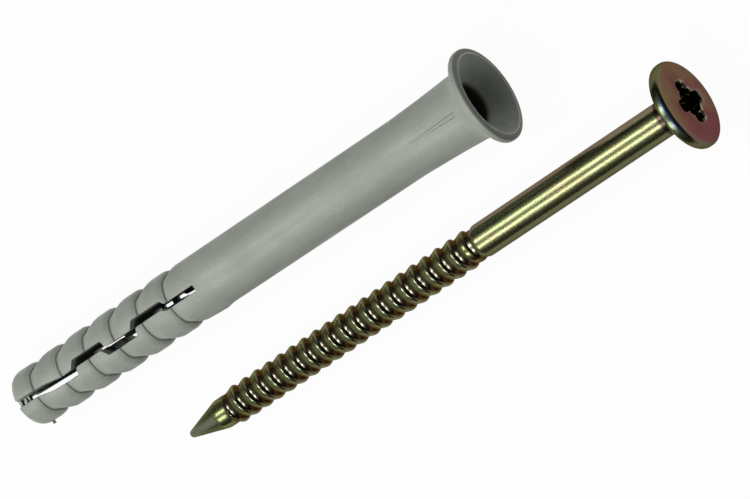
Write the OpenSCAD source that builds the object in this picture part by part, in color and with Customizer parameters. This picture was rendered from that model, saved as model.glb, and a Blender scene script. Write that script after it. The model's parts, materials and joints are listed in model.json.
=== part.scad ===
// Hammer fixing, taken apart: a nylon plug sleeve and its nail screw, lying side by side.
// Each piece is drawn upright on its own axis, tip at z = 0 and head upwards, and is then laid
// down on the surface z = 0, with its head towards +X. Sizes are in millimetres.

/* [Sleeve] */
// Length of the sleeve, from its tip to the face of its collar
sleeve_length = 60; // [50:1:90]
// Diameter of the plain shank, the size of the hole drilled for the fixing
shank_d = 6; // [5.8:0.1:8]
// Width of the tip's end face
tip_d = 4.86; // [4.2:0.02:5.4]
// Length of the rounded nose at the tip
nose_length = 0.85; // [0.5:0.05:1.6]
// How far the sleeve is turned about its own axis where it lies
sleeve_turn = -1.5; // [-30:0.5:30]

/* [Collar and neck] */
// Outside diameter of the collar
collar_d = 9.66; // [8.8:0.02:12]
// Thickness of the collar at its rim
rim_thickness = 0.9; // [0.7:0.05:1.2]
// Rounding of the rim's two edges
rim_round = 0.32; // [0.1:0.02:0.34]
// Height of the flare from the neck to the rim
flare_height = 2.15; // [1:0.05:3]
// Flat lip between the rim's rounding and the funnel
lip_width = 0.28; // [0.1:0.02:0.5]
// Depth of the funnel mouth
funnel_depth = 2; // [1.4:0.1:3]
// Length of the neck, which widens towards the collar
neck_length = 7.2; // [4:0.1:12]
// How far the neck widens beyond the shank, on the radius
neck_swell = 0.34; // [0.1:0.02:0.5]
// Length of each neck rib below the flare
rib_length = 4.9; // [2:0.1:6]
// Width of each neck rib
rib_width = 0.42; // [0.3:0.02:0.8]
// Height of each neck rib where it meets the flare
rib_height = 0.34; // [0.2:0.02:0.5]

/* [Expansion zone] */
// Number of steps between the barbs
barb_steps = 6; // [4:1:6]
// Distance from the tip to the first step
first_step = 2.87; // [2.4:0.01:4]
// Distance from one step to the next
barb_pitch = 3.66; // [3:0.05:4]
// Height of each step
step_height = 0.47; // [0.3:0.01:0.6]
// Length of the ramp that leads up from a step
ramp_length = 1.6; // [0.8:0.1:2]
// Length over which a barb rounds off towards its step
edge_length = 0.8; // [0.4:0.05:1]
// How far a barb has dropped where its step begins
edge_drop = 0.18; // [0.05:0.01:0.25]
// How far the barb at the tip stands out from the shank's line
proud_at_tip = -0.05; // [-0.1:0.01:0.1]
// How far the barb nearest the shank stands out
proud_at_shank = 0.09; // [0.05:0.01:0.2]
// Width of the slot
slot_width = 0.66; // [0.5:0.02:1]
// Sideways offset of the slot's stretches
slot_offset = 0.32; // [0.15:0.01:0.32]
// How far the whole slot lies to one side of the axis
slot_shift = 0.075; // [0:0.005:0.2]
// Rounding of the corners where the slot changes sides
slot_round = 0.3; // [0.1:0.02:0.32]
// Length of the straight stretch that opens at the tip
tip_stretch = 8.15; // [6:0.05:10]
// Length of each later stretch
slot_stretch = 4.05; // [3.4:0.05:5]
// Narrow bore in the expansion zone, which the nail forces apart
throat_d = 2.4; // [1.6:0.1:2.9]
// Length over which the bore narrows
throat_taper = 9; // [4:0.5:14]
// Clearance of the wide bore round the thread's crest, on the diameter
nail_clearance = 0.4; // [0.1:0.05:0.6]

/* [Nail] */
// Length of the nail, from its point to the top of its head
nail_length = 64; // [56:1:90]
// Diameter of the plain shank
nail_shank_d = 3.35; // [3.2:0.05:3.6]
// Diameter over the thread's crest
crest_d = 3.62; // [3.4:0.02:3.8]
// Diameter at the thread's root
root_d = 3; // [2.8:0.02:3.1]
// Pitch of the thread
thread_pitch = 1.58; // [1.3:0.02:1.8]
// How far the thread is turned about the nail's axis
thread_turn = 15; // [0:1:359]
// Length of the threaded part
thread_length = 31.4; // [20:0.2:34]
// Length of the conical point
point_length = 4.1; // [3:0.1:6]
// Rounding of the point's end
point_round = 0.36; // [0.2:0.02:0.5]
// Length of the plain lead between the point and the thread
lead_length = 2.2; // [2.1:0.1:4]
// Length of the rounded shoulder between the thread and the shank
shoulder_length = 1.3; // [0.8:0.1:2]

/* [Nail head] */
// Diameter of the head
head_d = 8.74; // [7.6:0.02:10]
// Thickness of the head
head_thickness = 1.7; // [1.2:0.05:2.2]
// Rounding of the head's edges
head_round = 0.4; // [0.2:0.02:0.44]
// Fillet between the shank and the head
head_fillet = 0.5; // [0.2:0.05:0.8]
// Span of the cross recess across its wings, at the top of the head
recess_span = 4.3; // [3.4:0.1:5]
// Span of the recess at its floor
recess_floor_span = 2; // [1.6:0.1:2.4]
// Width of each wing of the recess
wing_width = 1.25; // [0.8:0.05:1.3]
// Depth of the recess
recess_depth = 2.2; // [1.4:0.1:2.4]
// Span of the small steps between the wings, at the top of the head
corner_span = 2.5; // [2:0.1:2.7]
// Width of those steps
corner_width = 0.62; // [0.4:0.02:0.8]

/* [Layout] */
// Clear distance across the layout between the collar's rim and the head's rim
side_gap = 1.34; // [0.6:0.02:8]
// How far the nail's head lies beyond the face of the collar
head_lead = 15.9; // [0:0.1:30]
// Angle between the nail and the sleeve, seen from above
nail_skew = 0.85; // [0:0.05:3]

/* [Hidden] */
$fn = 96;

sleeve_colour = [0.60, 0.63, 0.58];
nail_colour = [0.72, 0.65, 0.33];

// Straight pieces that stand for each rounded stretch of a profile
curve_steps = 5;
// Cuts reach this far past what they cut
overshoot = 1;
// How far one stretch of the slot reaches into the next
slot_lap = 0.1;
// How far the cut at a tooth's corner reaches back into the slot
corner_lap = 0.05;
// How deep the foot of a neck rib is set into the wall
rib_bury = 0.1;
// Sides of the thread round one turn
thread_sides = 24;
// Places along one pitch where the thread's form is drawn, as shares of the pitch
thread_places = [0, 0.2, 0.38, 0.54, 0.7, 0.85];
// Place of the crest along one pitch
crest_place = 0.54;
// Share of one turn over which the thread rises from nothing
thread_rise = 0.8;
// How far the lead and the shoulder stand out from the thread's root
root_seat = 0.03;
// How deep the ends of the thread are set into the lead and the shoulder
thread_bury = 0.25;

shank_r = shank_d / 2;
tip_r = tip_d / 2;
collar_r = collar_d / 2;
neck_r = shank_r + neck_swell;
mouth_r = collar_r - rim_round - lip_width;
bore_r = (crest_d + nail_clearance) / 2;
throat_r = throat_d / 2;
rim_back = sleeve_length - rim_thickness;
flare_foot = rim_back - flare_height;
neck_foot = flare_foot - neck_length;
slot_stretches = 5;
slot_end = tip_stretch + (slot_stretches - 1) * slot_stretch;
cut_through = 2 * (shank_d + overshoot);

nail_shank_r = nail_shank_d / 2;
crest_r = crest_d / 2;
root_r = root_d / 2;
seat_r = root_r + root_seat;
head_r = head_d / 2;
head_back = nail_length - head_thickness;
thread_start = point_length + lead_length;
thread_end = thread_start + thread_length;
thread_depth = crest_r - root_r;

// Height of a step above the tip, its barb's radius and the radius behind it
function step_z(k) = first_step + k * barb_pitch;
function barb_r(k) = shank_r + proud_at_tip + (proud_at_shank - proud_at_tip) * k / (barb_steps - 1);
function step_foot_r(k) = barb_r(k) - step_height;

// A curve that leaves its first radius steeply and levels off at its second
function swell(r0, r1, z0, length) =
    [for (i = [0 : curve_steps]) let (u = i / curve_steps) [r0 + (r1 - r0) * sin(90 * u), z0 + length * u]];

// A round edge about a centre, from one angle to another
function arc(centre, r, from, to) =
    [for (i = [0 : curve_steps])
        let (a = from + (to - from) * i / curve_steps)
        [centre[0] + r * cos(a), centre[1] + r * sin(a)]];

// The nose, and the barbs: each rises from the foot of the step before it, rounds off and ends in
// a step
function nose_profile() =
    [for (i = [0 : curve_steps])
        let (a = 90 * i / curve_steps)
        [tip_r + (barb_r(0) - tip_r) * sin(a), nose_length * (1 - cos(a))]];
function barb_profile() =
    [for (k = [0 : barb_steps - 1])
        each concat(
            [for (i = [0 : curve_steps])
                let (u = i / curve_steps)
                [barb_r(k) - edge_drop * u * u, step_z(k) - edge_length * (1 - u)]],
            swell(step_foot_r(k), k < barb_steps - 1 ? barb_r(k + 1) : shank_r, step_z(k), ramp_length))];

// The collar: a flare that turns outwards from the neck, a round rim, a lip and the funnel
function collar_profile() = concat(
    [[shank_r, neck_foot]],
    [for (i = [0 : curve_steps])
        let (a = 90 * i / curve_steps)
        [neck_r + (collar_r - rim_round - neck_r) * (1 - cos(a)), flare_foot + flare_height * sin(a)]],
    arc([collar_r - rim_round, rim_back + rim_round], rim_round, -90, 0),
    arc([collar_r - rim_round, sleeve_length - rim_round], rim_round, 0, 90),
    [[mouth_r, sleeve_length], [bore_r, sleeve_length - funnel_depth]]);

function bore_profile() =
    [[bore_r, slot_end], [throat_r, slot_end - throat_taper], [throat_r, 0]];

module sleeve_blank() {
    rotate_extrude()
        polygon(concat(nose_profile(), barb_profile(), collar_profile(), bore_profile()));
}

// Two ribs on the neck that grow towards the flare and run out where the flare stands as high
module neck_ribs() {
    flare_reach = collar_r - rim_round - neck_r;
    rib_top = flare_foot + flare_height * sin(acos(1 - rib_height / flare_reach));
    rib_foot = flare_foot - rib_length;
    rib_foot_r = shank_r + neck_swell * (1 - rib_length / neck_length);
    for (side = [0, 180])
        rotate([90, 0, side])
            linear_extrude(height = rib_width, center = true)
                polygon([
                    [shank_r - rib_bury, rib_foot],
                    [rib_foot_r, rib_foot],
                    [neck_r + rib_height, flare_foot],
                    [neck_r + rib_height, rib_top],
                    [shank_r - rib_bury, rib_top]]);
}

// One stretch of the slot, through both walls: round at its tip end, square at its other end
module slot_stretch_cut(from, to, offset) {
    slot_r = slot_width / 2;
    translate([0, offset, from + slot_r])
        rotate([0, 90, 0])
            cylinder(h = cut_through, r = slot_r, center = true);
    translate([-cut_through / 2, offset - slot_r, from + slot_r])
        cube([cut_through, slot_width, to - from - slot_r]);
}

// Rounds the corner of the tooth on one side of the slot, where the next stretch begins
module tooth_corner_cut(z, y, side) {
    difference() {
        translate([-cut_through / 2, min(y + side * slot_round, y - side * corner_lap), z - corner_lap])
            cube([cut_through, slot_round + corner_lap, slot_round + corner_lap]);
        translate([0, y + side * slot_round, z + slot_round])
            rotate([0, 90, 0])
                cylinder(h = cut_through + overshoot, r = slot_round, center = true);
    }
}

// Side of the middle line on which a stretch lies: turn about, and at last on the line itself
function slot_side(i) = i == slot_stretches - 1 ? 0 : (i % 2 == 0 ? -1 : 1);

// Distance of a stretch's middle from the axis
function slot_y(i) = slot_shift + slot_side(i) * slot_offset;

// Height above the tip at which a stretch ends
function stretch_end(i) = tip_stretch + i * slot_stretch;

module wandering_slot() {
    last = slot_stretches - 1;
    slot_stretch_cut(-overshoot, stretch_end(0) + slot_lap, slot_y(0));
    for (i = [1 : last])
        slot_stretch_cut(
            stretch_end(i - 1) - slot_lap,
            stretch_end(i) + (i < last ? slot_lap : 0),
            slot_y(i));
    for (i = [0 : last - 1])
        tooth_corner_cut(
            stretch_end(i) + slot_lap,
            slot_y(i + 1) + slot_side(i) * slot_width / 2,
            slot_side(i));
}

module upright_sleeve() {
    difference() {
        union() {
            sleeve_blank();
            neck_ribs();
        }
        wandering_slot();
    }
}

// Rounded point and plain lead
module nail_point() {
    cone_angle = atan2(root_r, point_length);
    rotate_extrude()
        polygon(concat(
            arc([0, point_round], point_round, -90, -cone_angle),
            [[seat_r, point_length], [seat_r, thread_start], [0, thread_start]]));
}

// Shoulder, plain shank and disc head
module nail_stem() {
    rotate_extrude()
        polygon(concat(
            [[0, thread_end]],
            swell(seat_r, nail_shank_r, thread_end, shoulder_length),
            arc([nail_shank_r + head_fillet, head_back - head_fillet], head_fillet, 180, 90),
            arc([head_r - head_round, head_back + head_round], head_round, -90, 0),
            arc([head_r - head_round, nail_length - head_round], head_round, 0, 90),
            [[0, nail_length]]));
}

// Form of the thread along one pitch: a rounded ridge whose far flank is the steeper
function ridge(u) =
    let (w = u < crest_place ? 0.5 * u / crest_place : 0.5 + 0.5 * (u - crest_place) / (1 - crest_place))
    0.5 - 0.5 * cos(360 * w);

// Share of the thread's full height at a height above the tip
function thread_share(z) =
    max(0, min(1, min(z - thread_start, thread_end - z) / (thread_rise * thread_pitch)));

// Right-hand thread as one closed form: rows follow the helix, and after one turn a row
// meets the row that lies one pitch further on
module thread() {
    places = len(thread_places);
    foot = thread_start - thread_bury - thread_pitch;
    turns = ceil((thread_end + thread_bury - foot) / thread_pitch);
    rows = turns * places;
    top_row_first = (rows + 1) * thread_sides;

    function row_z(i) = foot + thread_pitch * (floor(i / places) + thread_places[i % places]);
    function point_at(i, j) =
        let (
            z = row_z(i) + thread_pitch * j / thread_sides,
            r = root_r + thread_depth * ridge(thread_places[i % places]) * thread_share(z),
            a = 360 * j / thread_sides)
        [r * cos(a), r * sin(a), z];
    function index(i, j) =
        j == thread_sides ? index(i + places, 0)
        : i <= rows ? i * thread_sides + j
        : top_row_first + i - rows - 1;

    skin_points = [for (i = [0 : rows]) for (j = [0 : thread_sides - 1]) point_at(i, j)];
    seam_points = [for (i = [rows + 1 : rows + places]) point_at(i, 0)];
    foot_centre = len(skin_points) + len(seam_points);
    top_centre = foot_centre + 1;
    centres = [[0, 0, foot + thread_pitch / 2], [0, 0, row_z(rows) + thread_pitch / 2]];

    skin = [for (i = [0 : rows - 1]) for (j = [0 : thread_sides - 1])
        each [
            [index(i, j), index(i + 1, j), index(i + 1, j + 1)],
            [index(i, j), index(i + 1, j + 1), index(i, j + 1)]]];
    foot_cap = concat(
        [for (j = [0 : thread_sides - 1]) [foot_centre, index(0, j), index(0, j + 1)]],
        [for (i = [0 : places - 1]) [foot_centre, index(i + 1, 0), index(i, 0)]]);
    top_cap = concat(
        [for (j = [0 : thread_sides - 1]) [top_centre, index(rows, j + 1), index(rows, j)]],
        [for (i = [rows : rows + places - 1]) [top_centre, index(i, 0), index(i + 1, 0)]]);

    polyhedron(concat(skin_points, seam_points, centres), concat(skin, foot_cap, top_cap));
}

// A pair of crossed slots that narrow towards the floor of the recess
module crossed_slots(top_span, floor_span, width, turn) {
    rise = (top_span - floor_span) / recess_depth * overshoot;
    for (side = [0, 90])
        rotate([90, 0, turn + side])
            linear_extrude(height = width, center = true)
                polygon([
                    [-floor_span / 2, nail_length - recess_depth],
                    [floor_span / 2, nail_length - recess_depth],
                    [(top_span + rise) / 2, nail_length + overshoot],
                    [-(top_span + rise) / 2, nail_length + overshoot]]);
}

module cross_recess() {
    crossed_slots(recess_span, recess_floor_span, wing_width, 0);
    crossed_slots(corner_span, wing_width, corner_width, 45);
}

module upright_nail() {
    difference() {
        union() {
            nail_point();
            rotate([0, 0, thread_turn])
                thread();
            nail_stem();
        }
        cross_recess();
    }
}

// A piece lies on a ring near its tip and on the back edge of its head. The tilt of its axis
// and the height of its tip follow from the two places where it touches.
function lie_tilt(ring_z, ring_r, rim_z, rim_r, edge) =
    let (rise = rim_r - edge - ring_r, run = rim_z + edge - ring_z)
    atan2(rise, run) + asin(edge / sqrt(rise * rise + run * run));
function lie_height(ring_z, ring_r, tilt) = ring_r * cos(tilt) - ring_z * sin(tilt);

// The sleeve touches at its first barb, the nail at the first full crest below its axis
nail_ring_z = thread_start - thread_bury + thread_pitch * (1 + crest_place - thread_turn / 360);
sleeve_ring_z = step_z(0) - edge_length;
sleeve_tilt = lie_tilt(sleeve_ring_z, barb_r(0), rim_back, collar_r, rim_round);
nail_tilt = lie_tilt(nail_ring_z, crest_r, head_back, head_r, head_round);
sleeve_height = lie_height(sleeve_ring_z, barb_r(0), sleeve_tilt);
nail_height = lie_height(nail_ring_z, crest_r, nail_tilt);

// Places of the two tips along X, first from the sleeve's tip and then about the middle
sleeve_reach = cos(sleeve_tilt);
nail_reach = cos(nail_tilt) * cos(nail_skew);
nail_from_sleeve = sleeve_length * sleeve_reach + head_lead - nail_length * nail_reach;
low_x = min(-tip_r * sin(sleeve_tilt), nail_from_sleeve);
head_far_x = nail_from_sleeve + (nail_length - head_round) * nail_reach
    + (head_r - head_round) * sqrt(1 - nail_reach * nail_reach) + head_round;
collar_far_x = (sleeve_length - rim_round) * sleeve_reach
    + (collar_r - rim_round) * sin(sleeve_tilt) + rim_round;
middle_x = (low_x + max(head_far_x, collar_far_x)) / 2;
sleeve_x = -middle_x;
nail_x = nail_from_sleeve - middle_x;

// Places across the layout: the collar's rim and the head's rim are its two edges
half_width = collar_r + head_r + side_gap / 2;
sleeve_y = half_width - collar_r;
head_y = head_r - half_width;
nail_y = head_y - nail_length * cos(nail_tilt) * sin(nail_skew);

module lay_down(place, tilt, skew) {
    translate(place)
        rotate([0, 0, skew])
            rotate([0, 90 - tilt, 0])
                children();
}

module plug_sleeve() {
    color(sleeve_colour)
        lay_down([sleeve_x, sleeve_y, sleeve_height], sleeve_tilt, 0)
            rotate([0, 0, sleeve_turn])
                upright_sleeve();
}

module nail_screw() {
    color(nail_colour)
        lay_down([nail_x, nail_y, nail_height], nail_tilt, nail_skew)
            upright_nail();
}

plug_sleeve();
nail_screw();
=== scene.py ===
# %% [markdown]
# # A hammer fixing, taken apart
#
# A hammer fixing is two pieces: a nylon plug sleeve that goes into a drilled hole, and a steel
# nail screw that is hammered into the sleeve and spreads its slotted end. Here they lie side by
# side on a white table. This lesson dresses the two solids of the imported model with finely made
# meshes and procedural finishes, and then lights them as a small studio would.

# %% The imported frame
import json
import math
from types import SimpleNamespace

import bmesh
import bpy
from mathutils import Matrix, Vector


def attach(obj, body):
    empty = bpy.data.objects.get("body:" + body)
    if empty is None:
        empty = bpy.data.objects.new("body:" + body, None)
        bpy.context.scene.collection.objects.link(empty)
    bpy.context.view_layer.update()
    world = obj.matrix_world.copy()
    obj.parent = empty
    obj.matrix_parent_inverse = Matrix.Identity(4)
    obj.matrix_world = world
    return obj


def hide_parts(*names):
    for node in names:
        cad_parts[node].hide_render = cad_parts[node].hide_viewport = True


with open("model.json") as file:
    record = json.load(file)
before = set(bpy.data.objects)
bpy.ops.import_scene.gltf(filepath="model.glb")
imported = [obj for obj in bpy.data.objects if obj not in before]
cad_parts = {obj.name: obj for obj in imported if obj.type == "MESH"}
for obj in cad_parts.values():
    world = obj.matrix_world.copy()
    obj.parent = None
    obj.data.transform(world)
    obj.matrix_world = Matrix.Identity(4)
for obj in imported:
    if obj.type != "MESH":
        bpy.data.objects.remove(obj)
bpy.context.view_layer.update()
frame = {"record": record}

# %% [markdown]
# ## Where each piece lies
#
# Both pieces are easiest to draw upright, with the tip at the origin and the head upwards. Each is
# then laid down by one matrix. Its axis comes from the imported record: the bore of the sleeve and
# the recess of the nail are mounts, with a place and a direction. The matrix is applied to the
# mesh, so the finished object stays at the origin, unturned. Upright x then points down to the
# table. A name with "above" in it is for the side that the camera sees, and one with "below" for
# the side that faces the table.

# %% Lying matrices
MM = 0.001
SLEEVE_LENGTH = 60.0
NAIL_LENGTH = 64.0
BORE_MIDDLE = 41.175
SLEEVE_TURN = math.radians(-1.5)

mounts = {mount["name"]: mount for mount in frame["record"]["mounts"]}


def lying_matrix(mount, distance_from_tip, turn):
    along = Vector(mount["axis"]).normalized()
    tip = Vector(mount["pos_m"]) - along * distance_from_tip * MM
    up = (Vector((0.0, 0.0, 1.0)) - along * along.z).normalized()
    down = -up
    across = along.cross(down)
    basis = Matrix((down, across, along)).transposed().to_4x4()
    return Matrix.Translation(tip) @ basis @ Matrix.Rotation(turn, 4, "Z")


sleeve_lies = lying_matrix(mounts["nail_bore"], BORE_MIDDLE, SLEEVE_TURN)
nail_lies = lying_matrix(mounts["drive_recess"], NAIL_LENGTH, 0.0)
print("sleeve tip (mm):", [round(value / MM, 3) for value in sleeve_lies.translation])
print("nail tip (mm):", [round(value / MM, 3) for value in nail_lies.translation])

# %% [markdown]
# ## Helpers for profiles and skins
#
# A turned or moulded piece is a profile: a list of points (radius, height). Real edges are never
# quite sharp, so one helper rounds the corners of a polyline, and another one draws arcs. A skin
# is a row of bands, each of them stretched between two lines of points.

# %% Profile helpers
ARC_SHARE = 0.48


def arc(centre_r, centre_z, radius, first, last, steps):
    points = []
    for i in range(steps + 1):
        angle = math.radians(first + (last - first) * i / steps)
        points.append((centre_r + radius * math.cos(angle), centre_z + radius * math.sin(angle)))
    return points


def rounded(corners, steps=4):
    """Polyline through (r, z, rounding) corners, each corner turned into an arc of its rounding."""
    points = []
    for i, (r, z, rounding) in enumerate(corners):
        here = Vector((r, z))
        if rounding <= 0.0 or i in (0, len(corners) - 1):
            points.append((r, z))
            continue
        back = Vector(corners[i - 1][:2]) - here
        ahead = Vector(corners[i + 1][:2]) - here
        room = ARC_SHARE * min(back.length, ahead.length)
        back.normalize()
        ahead.normalize()
        half = math.acos(max(-1.0, min(1.0, back.dot(ahead)))) / 2.0
        reach = min(rounding / math.tan(half), room)
        radius = reach * math.tan(half)
        centre = here + (back + ahead).normalized() * (radius / math.sin(half))
        start = here + back * reach - centre
        finish = here + ahead * reach - centre
        sweep = start.angle_signed(finish)
        for step in range(steps + 1):
            turned = start.copy()
            turned.rotate(Matrix.Rotation(-sweep * step / steps, 2))
            points.append(tuple(centre + turned))
    return points


def smooth(value):
    value = max(0.0, min(1.0, value))
    return value * value * (3.0 - 2.0 * value)


# %% Mesh helpers
WELD = 0.0005
CREASE = math.radians(38.0)


def band(bm, low, high, closed=False):
    """Faces between two lines of points, closed to a ring where asked."""
    count = len(low) if closed else len(low) - 1
    for i in range(count):
        j = (i + 1) % len(low)
        bm.faces.new((low[i], low[j], high[j], high[i]))


def open_edges(mesh):
    uses = {}
    for polygon in mesh.polygons:
        for key in polygon.edge_keys:
            uses[key] = uses.get(key, 0) + 1
    return sum(1 for count in uses.values() if count != 2)


def mesh_object(name, bm, lies):
    """Finish a mesh drawn upright in millimetres: lay it down in metres and make its object."""
    bmesh.ops.remove_doubles(bm, verts=bm.verts, dist=WELD)
    bmesh.ops.recalc_face_normals(bm, faces=bm.faces)
    bm.transform(lies @ Matrix.Scale(MM, 4))
    mesh = bpy.data.meshes.new(name)
    bm.to_mesh(mesh)
    bm.free()
    mesh.shade_smooth()
    mesh.set_sharp_from_angle(angle=CREASE)
    piece = bpy.data.objects.new(name, mesh)
    bpy.context.scene.collection.objects.link(piece)
    print(name, "faces:", len(mesh.polygons), "open edges:", open_edges(mesh))
    return piece


# %% [markdown]
# ## The sleeve's profile
#
# The nose is a soft quarter ellipse. Behind it come the barbs: each swells out from the foot of
# the step before it, eases in towards its own edge and ends in a small step that grips the hole.
# Behind the last step a shorter ramp leads to the plain shank. The shank widens into a neck, the
# neck turns out into the collar, and the collar holds the funnel that leads the nail into the
# bore. Along the slot the bore narrows to a throat, which the nail will spread.

# %% Sleeve sizes
SHANK_R = 3.0
TIP_R = 2.43
TIP_FACE_R = 1.9
NOSE_LENGTH = 0.85
NOSE_POINTS = 12
BARB_STEPS = 6
FIRST_STEP = 2.61
BARB_PITCH = 3.66
STEP_HEIGHT = 0.39
STEP_EDGE = 0.08
STEP_FILLET = 0.08
RAMP_LENGTH = 1.6
LAST_RAMP = 0.9
RAMP_POINTS = 9
EDGE_LENGTH = 0.8
EDGE_DROP = 0.2
EDGE_POINTS = 8
PROUD_AT_TIP = -0.05
PROUD_AT_SHANK = 0.09
COLLAR_R = 4.83
RIM_BACK = 59.1
RIM_ROUND = 0.32
RIM_TURN = -78
RIM_POINTS = (6, 7)
FLARE_HEIGHT = 2.15
FLARE_POINTS = 16
NECK_LENGTH = 7.2
NECK_R = 3.34
NECK_EASE = 0.55
NECK_POINTS = 24
LIP_WIDTH = 0.28
LIP_EDGE = 0.16
FUNNEL_DEPTH = 2.0
FUNNEL_EDGE = 0.12
BORE_R = 2.01
BORE_TOP = 50.0
THROAT_R = 1.2
THROAT_EDGE = 0.08
THROAT_TAPER = 9.0
SLOT_END = 24.35

flare_foot = RIM_BACK - FLARE_HEIGHT
neck_foot = flare_foot - NECK_LENGTH
print("neck from (mm):", round(neck_foot, 2), "flare from (mm):", round(flare_foot, 2))


# %% Sleeve profile
def barb_r(k):
    return SHANK_R + PROUD_AT_TIP + (PROUD_AT_SHANK - PROUD_AT_TIP) * k / (BARB_STEPS - 1)


def barb_corners():
    corners = [(THROAT_R + THROAT_EDGE, 0.0, 0.0), (TIP_FACE_R, 0.0, 0.0)]
    for i in range(NOSE_POINTS + 1):
        angle = math.radians(90.0 * i / NOSE_POINTS)
        r = TIP_R + (barb_r(0) - TIP_R) * math.sin(angle)
        corners.append((r, NOSE_LENGTH * (1.0 - math.cos(angle)), 0.0))
    for k in range(BARB_STEPS):
        step_z = FIRST_STEP + k * BARB_PITCH
        foot_r = barb_r(k) - STEP_HEIGHT
        last = k == BARB_STEPS - 1
        next_r = SHANK_R if last else barb_r(k + 1)
        ramp_length = LAST_RAMP if last else RAMP_LENGTH
        for i in range(EDGE_POINTS + 1):
            share = i / EDGE_POINTS
            eased_r = barb_r(k) - EDGE_DROP * share * share
            rounding = STEP_EDGE if i == EDGE_POINTS else 0.0
            corners.append((eased_r, step_z - EDGE_LENGTH * (1.0 - share), rounding))
        corners.append((foot_r, step_z, STEP_FILLET))
        for i in range(1, RAMP_POINTS + 1):
            share = i / RAMP_POINTS
            swollen = foot_r + (next_r - foot_r) * math.sin(math.pi / 2.0 * share)
            corners.append((swollen, step_z + ramp_length * share, 0.0))
    return corners


def collar_corners():
    corners = []
    for i in range(NECK_POINTS + 1):
        share = i / NECK_POINTS
        eased = share * (NECK_EASE + (1.0 - NECK_EASE) * share)
        corners.append((SHANK_R + (NECK_R - SHANK_R) * eased, neck_foot + NECK_LENGTH * share, 0.0))
    rim_r = COLLAR_R - RIM_ROUND
    for i in range(1, FLARE_POINTS + 1):
        angle = math.radians(90.0 * i / FLARE_POINTS)
        r = NECK_R + (rim_r - NECK_R) * (1.0 - math.cos(angle))
        corners.append((r, flare_foot + FLARE_HEIGHT * math.sin(angle), 0.0))
    rim = arc(rim_r, RIM_BACK + RIM_ROUND, RIM_ROUND, RIM_TURN, 0, RIM_POINTS[0])
    rim += arc(rim_r, SLEEVE_LENGTH - RIM_ROUND, RIM_ROUND, 0, 90, RIM_POINTS[1])
    corners += [(r, z, 0.0) for r, z in rim]
    corners.append((rim_r - LIP_WIDTH, SLEEVE_LENGTH, LIP_EDGE))
    corners.append((BORE_R, SLEEVE_LENGTH - FUNNEL_DEPTH, FUNNEL_EDGE))
    corners.append((BORE_R, BORE_TOP, 0.0))
    return corners


def bore_r_at(z):
    share = (z - SLOT_END + THROAT_TAPER) / THROAT_TAPER
    return THROAT_R + (BORE_R - THROAT_R) * max(0.0, min(1.0, share))


sleeve_outline = rounded(barb_corners() + collar_corners())
print("sleeve profile points:", len(sleeve_outline))

# %% [markdown]
# ## The wandering slot
#
# The slot splits the expansion zone so that it can open. It wanders from one side of the middle
# line to the other, so the two halves interlock like teeth while the sleeve is pushed in. It is
# not the same all through: on the skin above it has deeper pockets and flares open at the tip, and
# in the wall below it is narrower. Cutting it with a Boolean would leave ragged edges, so the slot
# is built into the grid instead: each row of the sleeve knows where the edges of the slot are at
# its height, above, in the core and below, and the columns of the mesh follow them.

# %% Slot edges
SLOT_START = -0.01
SLOT_HALF = 0.33
SLOT_OFFSET = 0.32
SLOT_SHIFT = 0.075
SLOT_LAP = 0.1
SLOT_STRETCH = 4.05
SLOT_SIDES = (-1, 1, -1, 1, 0)
SLOT_PLACES = ("above", "core", "below")
TURN_ROUND = 0.34
POCKET_SLANT = 0.3
POCKET_EXTRA = 0.19
TOOTH_SLANT = 0.14
BELOW_HALF = 0.18
BELOW_SHIFT = -0.03
TIP_STRETCH = 8.15
TIP_BELOW_DROP = 0.15
# Corners (distance from the middle line, height, rounding) where the slot opens at the tip.
TIP_CORNERS = {
    ("above", 1): [(0.55, SLOT_START, 0.0), (0.44, 3.9, 0.3), (0.06, 6.2, 0.3)],
    ("above", -1): [(-0.24, SLOT_START, 0.0), (-0.24, 2.8, 0.3), (-0.6, 4.6, 0.3)],
    ("below", 1): [(0.085, SLOT_START, 0.0), (0.06, 1.0, 0.3), (-0.065, 4.5, 0.3)],
}
ROW_MARGIN = 0.05


def slot_level(i, side, sign, where):
    """How far one edge of the slot lies from the middle line, on one of its stretches."""
    if where == "below" and i > 0:
        return BELOW_SHIFT + side * SLOT_OFFSET + sign * BELOW_HALF
    level = SLOT_SHIFT + side * SLOT_OFFSET + sign * SLOT_HALF
    if where == "above" and side == sign:
        level += sign * POCKET_EXTRA
    if where == "below" and sign > 0:
        level -= TIP_BELOW_DROP
    return level


def slot_edge(sign, where):
    """Points (y, z) of one edge of the slot, from the tip to the slot's end."""
    levels = [slot_level(i, side, sign, where) for i, side in enumerate(SLOT_SIDES)]
    corners = list(TIP_CORNERS.get((where, sign), [(levels[0], SLOT_START, 0.0)]))
    for i in range(len(SLOT_SIDES) - 1):
        opens = (levels[i + 1] - levels[i]) * sign > 0
        z = TIP_STRETCH + i * SLOT_STRETCH + (-SLOT_LAP if opens else SLOT_LAP)
        slant = POCKET_SLANT if opens else TOOTH_SLANT
        corners.append((levels[i], z - slant, TURN_ROUND))
        corners.append((levels[i + 1], z + slant, TURN_ROUND))
    corners.append((levels[-1], SLOT_END, 0.0))
    return rounded(corners, steps=6)


def edge_at(edge, z):
    for (y0, z0), (y1, z1) in zip(edge, edge[1:]):
        if z <= z1:
            return y0 if z1 == z0 else y0 + (y1 - y0) * max(0.0, z - z0) / (z1 - z0)
    return edge[-1][0]


slot_edges = {(sign, where): slot_edge(sign, where) for sign in (1, -1) for where in SLOT_PLACES}
turning_heights = set()
for edge in slot_edges.values():
    turning_heights.update(round(z, 3) for y, z in edge if ROW_MARGIN < z < SLOT_END - ROW_MARGIN)
turning_heights = sorted(turning_heights)
print("slot edge heights:", len(turning_heights))

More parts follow.
